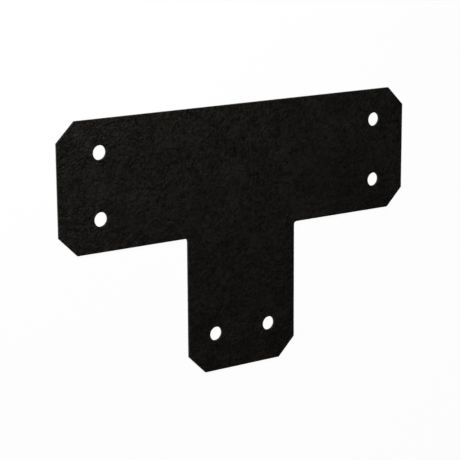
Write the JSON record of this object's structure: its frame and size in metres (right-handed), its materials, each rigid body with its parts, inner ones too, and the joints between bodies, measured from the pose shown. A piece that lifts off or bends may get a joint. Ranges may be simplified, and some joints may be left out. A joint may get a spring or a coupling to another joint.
{
  "type": "t plate bracket",
  "caption": "Flat T-shaped steel strap plate with cut corners and punched screw holes, for tying a post to the face of a beam.",
  "frame": {"origin": "on the back face, where the centre lines of the bar and the stem cross", "axes": "+Z out of the front face, +X along the bar, the stem runs towards -Y"},
  "size_m": [0.4064, 0.2667, 0.0027],
  "materials": {
    "black_powder_coat": "textured matte black powder coat over steel, finely wrinkled"
  },
  "bodies": {
    "root": {"t_plate": "black_powder_coat"}
  },
  "joints": []
}
